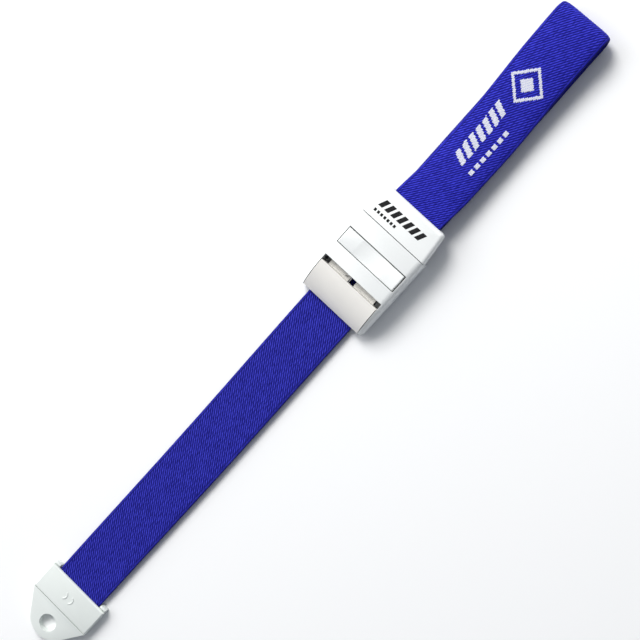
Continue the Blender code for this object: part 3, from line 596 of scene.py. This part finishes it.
class Route:
    """The webbing's middle line in XZ, by length along it from its end in the tab to its end in the
    clip, and how the webbing lies along that line."""

    def __init__(self):
        lower_x = np.arange(TAB_MOUTH_X - END_REACH, FOLD_X, ROUTE_STEP)
        drop = smooth_step(lower_x, BUCKLE_MOUTH_X + DROP_FROM, BUCKLE_MOUTH_X + DROP_TO)
        lower_z = RUN_Z - (RUN_Z - FLOOR_RUN_Z) * drop
        angle = np.radians(np.linspace(-90, 90, FOLD_POINTS))
        fold_x = FOLD_X + FOLD_RADIUS * np.cos(angle)
        fold_z = FOLD_TOP_Z - FOLD_RADIUS + FOLD_RADIUS * np.sin(angle)
        upper_x = np.arange(FOLD_X, CLIP_MOUTH_X - END_REACH, -ROUTE_STEP)[1:]
        way = np.clip((upper_x - CLIP_MOUTH_X) / (FOLD_X - CLIP_MOUTH_X), 0, 1)
        rise = (FOLD_TOP_Z - CLIP_Z) * smooth_step(way, 0, 1)
        upper_z = CLIP_Z + rise - SAG * np.sin(math.pi * way) ** 2
        self.x = np.concatenate((lower_x, fold_x, upper_x))
        self.z = np.concatenate((lower_z, fold_z, upper_z))
        steps = np.hypot(np.diff(self.x), np.diff(self.z))
        keep = np.concatenate(([True], steps > SAME_PLACE))
        self.x, self.z = self.x[keep], self.z[keep]
        steps = np.hypot(np.diff(self.x), np.diff(self.z))
        self.at = np.concatenate(([0], np.cumsum(steps)))
        self.length = self.at[-1]
        self.fold_start = self.at[np.argmax(self.x >= FOLD_X)]
        self.fold_end = self.fold_start + math.pi * FOLD_RADIUS

    def round_the_fold(self, along, run):
        """1 round the fold, and less before and after it, down to 0 at a length of run from it."""
        before = smooth_step(along, self.fold_start - run, self.fold_start)
        return before * (1 - smooth_step(along, self.fold_end, self.fold_end + run))

    def middle(self, along, out):
        """X and Z at a height of out over the middle line."""
        ahead, behind = along + TANGENT_REACH, along - TANGENT_REACH
        tangent_x = np.interp(ahead, self.at, self.x) - np.interp(behind, self.at, self.x)
        tangent_z = np.interp(ahead, self.at, self.z) - np.interp(behind, self.at, self.z)
        size = np.hypot(tangent_x, tangent_z)
        x = np.interp(along, self.at, self.x) - out * tangent_z / size
        return x, np.interp(along, self.at, self.z) + out * tangent_x / size

    def sideways(self, x, along, on_loop):
        """How far the webbing lies off its middle line, towards +Y."""
        bow = TAIL_BOW * np.sin(math.pi * np.clip((along - END_REACH) / TAIL_LENGTH, 0, 1)) ** 2
        swing = LOOP_SWING * smooth_step(x, CLIP_MOUTH_X + SWING_FROM, CLIP_MOUTH_X + SWING_TO)
        dip = LOOP_DIP * smooth_step(x, CLIP_MOUTH_X + DIP_FROM, CLIP_MOUTH_X + DIP_FULL)
        dip = dip * (1 - smooth_step(x, CLIP_MOUTH_X + DIP_FADE, CLIP_MOUTH_X + DIP_TO))
        return np.where(along < TAIL_LENGTH + END_REACH, bow, swing) + dip * on_loop

    def lay(self, along, across, out):
        """Points for flat places on the webbing. out is the height above its middle, on the side that
        faces up before the fold."""
        x, z = self.middle(along, out)
        share = across / (WIDTH / 2)
        on_loop = smooth_step(along, self.fold_end + CROWN_FROM, self.fold_end + CROWN_FULL)
        mouth = self.length - END_REACH
        outside = 1 - smooth_step(along, mouth - CROWN_FADE, mouth - CROWN_TO)
        y = across + self.sideways(x, along, on_loop)
        skew = FOLD_SKEW * self.round_the_fold(along, SKEW_RUN) * share
        corners = FOLD_ROUND * self.round_the_fold(along, CORNER_RUN) * np.abs(share) ** 8
        z = z - CROWN * on_loop * outside * np.abs(share) ** 3
        return np.stack((x + (skew - corners), y, z), axis=-1)


def cross_section():
    """Places round the webbing's cross-section: how far across it, and how high over its middle."""
    radius = THICKNESS / 2
    flat_end = WIDTH / 2 - radius
    inner = np.linspace(-GROOVE + GROOVE_MARGIN, GROOVE - GROOVE_MARGIN, FACE_POINTS)
    outer = [GROOVE, (GROOVE + flat_end) / 2, flat_end]
    face = np.concatenate(([-v for v in reversed(outer)], inner, outer))
    turn = np.radians([45, 0, -45])
    edge_across, edge_out = flat_end + radius * np.cos(turn), radius * np.sin(turn)
    across = np.concatenate((face, edge_across, face[::-1], -edge_across))
    top, bottom = np.full(len(face), radius), np.full(len(face), -radius)
    return across, np.concatenate((top, edge_out, bottom, -edge_out))


def relief(along, across, out):
    """Height of the woven surface: the plain one, with twill ribs and a groove along each selvedge."""
    inside = 1 - smooth_step(np.abs(across), GROOVE - SELVEDGE_FADE, GROOVE)
    phase = (along - TWILL_SLOPE * across) / TWILL_LENGTH
    ribs = RIB_HEIGHT * inside * np.sin(2 * math.pi * phase) * np.sign(out)
    dip = GROOVE_DEPTH * np.exp(-(((np.abs(across) - GROOVE) / GROOVE_HALF) ** 2))
    on_face = np.abs(out) > 0.4 * THICKNESS
    return np.where(on_face, out + ribs - dip * np.sign(out), out)


def cloth_object(name, points, faces, flat, material):
    """A piece of cloth that carries each point's place on the webbing laid flat."""
    mesh = bpy.data.meshes.new(name)
    mesh.from_pydata(points.tolist(), [], faces)
    attribute = mesh.attributes.new("flat", "FLOAT_VECTOR", "POINT")
    attribute.data.foreach_set("vector", np.asarray(flat, np.float32).ravel())
    mesh.shade_smooth()
    mesh.materials.append(material)
    return linked_object(name, mesh)


def flat_webbing(length):
    """The webbing laid flat as a closed mesh. Its rows of points run along the twill's ribs, and its
    ends are cut square."""
    across, out = cross_section()
    overrun = TWILL_SLOPE * WIDTH / 2
    rows = np.arange(-overrun, length + overrun, TWILL_LENGTH / ROWS_PER_TWILL)
    count = len(across)
    along = rows[:, None] + TWILL_SLOPE * across[None]
    side = np.broadcast_to(across, along.shape)
    thick = np.broadcast_to(out, along.shape)
    points = np.stack((along, side, thick), axis=-1).reshape(-1, 3)
    row_start = np.arange(len(rows) - 1)[:, None] * count
    corner = row_start + np.arange(count)[None]
    following = row_start + np.roll(np.arange(count), -1)[None]
    quads = np.stack((corner, following, following + count, corner + count), axis=-1).reshape(-1, 4)
    shape = bpy.data.meshes.new("webbing_flat")
    shape.from_pydata(points.tolist(), [], quads.tolist())
    sheet = bmesh.new()
    sheet.from_mesh(shape)
    bpy.data.meshes.remove(shape)
    for end, outward in ((0.0, -1), (length, 1)):
        everything = sheet.verts[:] + sheet.edges[:] + sheet.faces[:]
        bmesh.ops.bisect_plane(
            sheet, geom=everything, plane_co=(end, 0, 0), plane_no=(outward, 0, 0), clear_outer=True
        )
    bmesh.ops.remove_doubles(sheet, verts=sheet.verts, dist=CUT_MERGE)
    bmesh.ops.holes_fill(sheet, edges=[e for e in sheet.edges if e.is_boundary], sides=0)
    return sheet


def make_webbing(route):
    sheet = flat_webbing(route.length)
    sheet.verts.ensure_lookup_table()
    sheet.verts.index_update()
    flat = np.array([v.co for v in sheet.verts])
    faces = [[v.index for v in f.verts] for f in sheet.faces]
    sheet.free()
    along, across, out = flat.T
    points = route.lay(along, across, relief(along, across, out))
    return cloth_object("webbing", points, faces, flat, webbing_cloth())


# ---------------------------------------------------------------- woven and printed motif

def bars_and_lozenge(a, b):
    """True inside the motif's slanted bars, and in the ring and the core of the lozenge beyond them.
    a runs along it from its start and b up from its base line."""
    slanted = a - BAR_SLANT * b
    bars = (np.mod(slanted, BAR_PITCH) < BAR_WIDTH) & (slanted > 0) & (slanted < BARS_LENGTH)
    bars &= (b > 0) & (b < BAR_HEIGHT)
    spread = np.abs(a - LOZENGE_A) / LOZENGE_HALF_A + np.abs(b - LOZENGE_B) / LOZENGE_HALF_B
    return bars | ((spread < 1) & (spread > LOZENGE_RING)) | (spread < LOZENGE_CORE)


def dash_row(pick_number, column_number):
    """True inside a row of plain dashes, which starts at pick 0 and column 0."""
    along = (pick_number >= 0) & (pick_number < DASH_COUNT * DASH_PERIOD)
    along &= np.mod(pick_number, DASH_PERIOD) < DASH_PICKS
    return along & (column_number >= 0) & (column_number < DASH_THREADS)


def motif_grid(pick_numbers, column_numbers):
    """For each column, a row of the picks at which its figure thread shows."""
    picks, columns = pick_numbers * PICK_LENGTH, column_numbers * THREAD_WIDTH
    a, b = np.meshgrid(picks - MOTIF_START, columns - MOTIF_BASE)
    c, s = math.cos(MOTIF_TILT), math.sin(MOTIF_TILT)
    first_pick = round(MOTIF_START / PICK_LENGTH)
    lowest_column = round((MOTIF_BASE - DASH_DROP) / THREAD_WIDTH)
    dashes = dash_row(*np.meshgrid(pick_numbers - first_pick, column_numbers - lowest_column))
    return bars_and_lozenge(a * c + b * s, b * c - a * s) | dashes


def tube_faces(begin, rings, corners):
    """Faces of a tube whose rings of points follow each other from index begin, with both its ends."""
    faces = []
    for ring in range(begin, begin + (rings - 1) * corners, corners):
        for corner in range(corners):
            beside = (corner + 1) % corners
            following = ring + corners
            faces.append([ring + corner, following + corner, following + beside, ring + beside])
    last = begin + (rings - 1) * corners
    faces.append([begin + corner for corner in range(corners)])
    faces.append([last + corner for corner in reversed(range(corners))])
    return faces


def make_woven_motif(route):
    """White figure threads on the loop's outer face, side by side as they come off the loom. Each is a
    closed tube that rises and dips with the picks."""
    column_numbers, pick_numbers = np.arange(-MOTIF_THREADS, MOTIF_THREADS + 1), np.arange(MOTIF_PICKS)
    mouth = route.length - END_REACH
    profile_across, profile_out = np.array(THREAD_PROFILE).T
    points, faces, flats = [], [], []
    begin = 0
    for column, row in zip(column_numbers, motif_grid(pick_numbers, column_numbers)):
        ends = np.flatnonzero(np.diff(np.concatenate(([0], row.astype(int), [0]))))
        for first, beyond in zip(ends[::2], ends[1::2]):
            places = np.linspace(first * PICK_LENGTH, beyond * PICK_LENGTH, 2 * (beyond - first) + 1)
            shift = (column + MOTIF_THREADS) / THREADS_PER_TWILL
            height = FLOAT_HEIGHT + FLOAT_DIP * np.cos(2 * math.pi * (places / TWILL_LENGTH - shift))
            height[[0, -1]] = FLOAT_END
            out = -(THICKNESS / 2 + height[:, None] * profile_out)
            along = np.broadcast_to(mouth - places[:, None], out.shape)
            across = np.broadcast_to(THREAD_WIDTH * (column + profile_across), out.shape)
            points.append(route.lay(along, across, out).reshape(-1, 3))
            flats.append(np.stack((along, across, out), axis=-1).reshape(-1, 3))
            faces += tube_faces(begin, *out.shape)
            begin += out.size
    points, flat = np.concatenate(points), np.concatenate(flats)
    return cloth_object("woven_motif", points, faces, flat, figure_thread())


def parallelogram(a_start, width, b_low, b_high, slant):
    """Corners of a bar between two heights b. It starts at a_start at height 0."""
    a_low, a_high = a_start + slant * b_low, a_start + slant * b_high
    return [(a_low, b_low), (a_low + width, b_low), (a_high + width, b_high), (a_high, b_high)]


def print_outlines():
    """Corners of a row of slanted bars and of a row of dashes under it, as places along the rows and up
    from the bars' base."""
    bars = [
        parallelogram(PRINT_PITCH * i, PRINT_WIDTH, 0, PRINT_HEIGHT, BAR_SLANT)
        for i in range(PRINT_COUNT)
    ]
    dashes = [
        parallelogram(PRINT_DASH_PITCH * i, PRINT_DASH_WIDTH, PRINT_DASH_LOW, PRINT_DASH_HIGH, 0)
        for i in range(PRINT_COUNT)
    ]
    return bars + dashes


def make_clip_print():
    """The bars and the dashes in ink on the clip's cover, reading from +Y to -Y."""
    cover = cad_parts["clip_cover"]
    base_x = clip_low.x + PRINT_BASE_X
    ink = bmesh.new()
    for outline in print_outlines():
        top, bottom = [], []
        for a, b in outline:
            x, y = base_x + b, PRINT_START_Y - a
            _, place, _, _ = cover.ray_cast(Vector((x, y, 1)), Vector((0, 0, -1)))
            top.append(ink.verts.new((x, y, place.z + INK_PROUD)))
            bottom.append(ink.verts.new((x, y, place.z - INK_SUNK)))
        ink.faces.new(top)
        ink.faces.new(bottom[::-1])
        for i in range(4):
            j = (i + 1) % 4
            ink.faces.new((top[i], bottom[i], bottom[j], top[j]))
    bmesh.ops.recalc_face_normals(ink, faces=ink.faces)
    mesh = bpy.data.meshes.new("clip_print")
    ink.to_mesh(mesh)
    ink.free()
    mesh.materials.append(printing_ink())
    return linked_object("clip_print", mesh)


# ---------------------------------------------------------------- the scene

make_camera()
make_stage()
finish_nodes()

route = Route()
webbing = make_webbing(route)
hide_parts("strap")
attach(webbing, "strap_assembly")

woven_motif = make_woven_motif(route)
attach(woven_motif, "strap_assembly")

clip_print = make_clip_print()
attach(clip_print, "strap_assembly")
